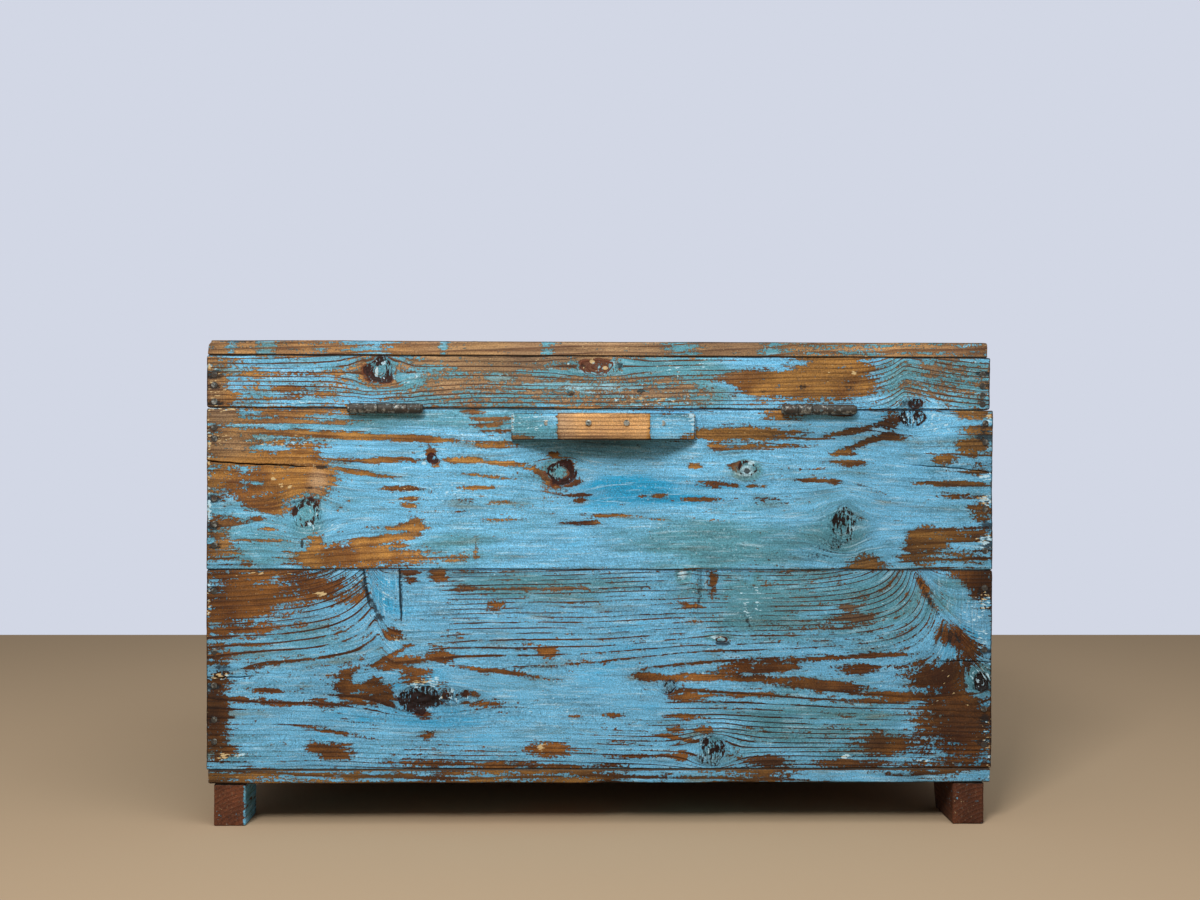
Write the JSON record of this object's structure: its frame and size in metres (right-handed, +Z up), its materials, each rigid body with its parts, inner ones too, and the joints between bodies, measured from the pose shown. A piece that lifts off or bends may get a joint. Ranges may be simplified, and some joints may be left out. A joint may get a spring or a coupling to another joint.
{
  "type": "painted trunk",
  "caption": "Low rectangular wooden trunk in worn blue paint: nailed plank case on block feet, flat lid on butt hinges, tapered lid stop on the hinge side.",
  "frame": {"origin": "on the floor, in the middle of the footprint, lid stop included", "axes": "+X along the trunk to the right as seen facing the hinge side, +Y from the hinge side to the front, +Z up"},
  "size_m": [1, 0.6082, 0.6164],
  "materials": {
    "painted_wood": "thin worn blue paint over softwood",
    "foot_wood": "dark reddish brown, partly painted",
    "bare_wood": "aged unpainted softwood",
    "iron": "blackened and worn"
  },
  "bodies": {
    "case": {"rear_wall_lower_board": "painted_wood", "rear_wall_upper_board": "painted_wood", "front_wall_lower_board": "painted_wood", "front_wall_upper_board": "painted_wood", "left_wall_lower_board": "painted_wood", "left_wall_upper_board": "painted_wood", "right_wall_lower_board": "painted_wood", "right_wall_upper_board": "painted_wood", "bottom_plank_rear": "painted_wood", "bottom_plank_middle": "painted_wood", "bottom_plank_front": "painted_wood", "foot_rear_left": "foot_wood", "foot_rear_right": "foot_wood", "foot_front_left": "foot_wood", "foot_front_right": "foot_wood", "rear_wall_nails": "iron", "front_wall_nails": "iron", "bottom_nails": "iron", "foot_nails": "iron", "lid_stop_block": "painted_wood", "lid_stop_screws": "iron", "left_hinge_case_leaf": "iron", "left_hinge_pin": "iron", "left_hinge_case_screws": "iron", "right_hinge_case_leaf": "iron", "right_hinge_pin": "iron", "right_hinge_case_screws": "iron"},
    "lid": {"lid_rear_rail": "painted_wood", "lid_front_rail": "painted_wood", "lid_left_rail": "painted_wood", "lid_right_rail": "painted_wood", "lid_batten": "bare_wood", "lid_plank_rear": "painted_wood", "lid_plank_middle": "painted_wood", "lid_plank_front": "painted_wood", "lid_frame_nails": "iron", "lid_plank_nails": "iron", "left_hinge_lid_leaf": "iron", "left_hinge_lid_screws": "iron", "right_hinge_lid_leaf": "iron", "right_hinge_lid_screws": "iron"}
  },
  "joints": [
    {"name": "lid_hinge", "type": "hinge", "parent": "case", "child": "lid", "pos_m": [0, -0.2732, 0.5302], "axis": [1, 0, 0], "range_deg": [0, 113]}
  ]
}
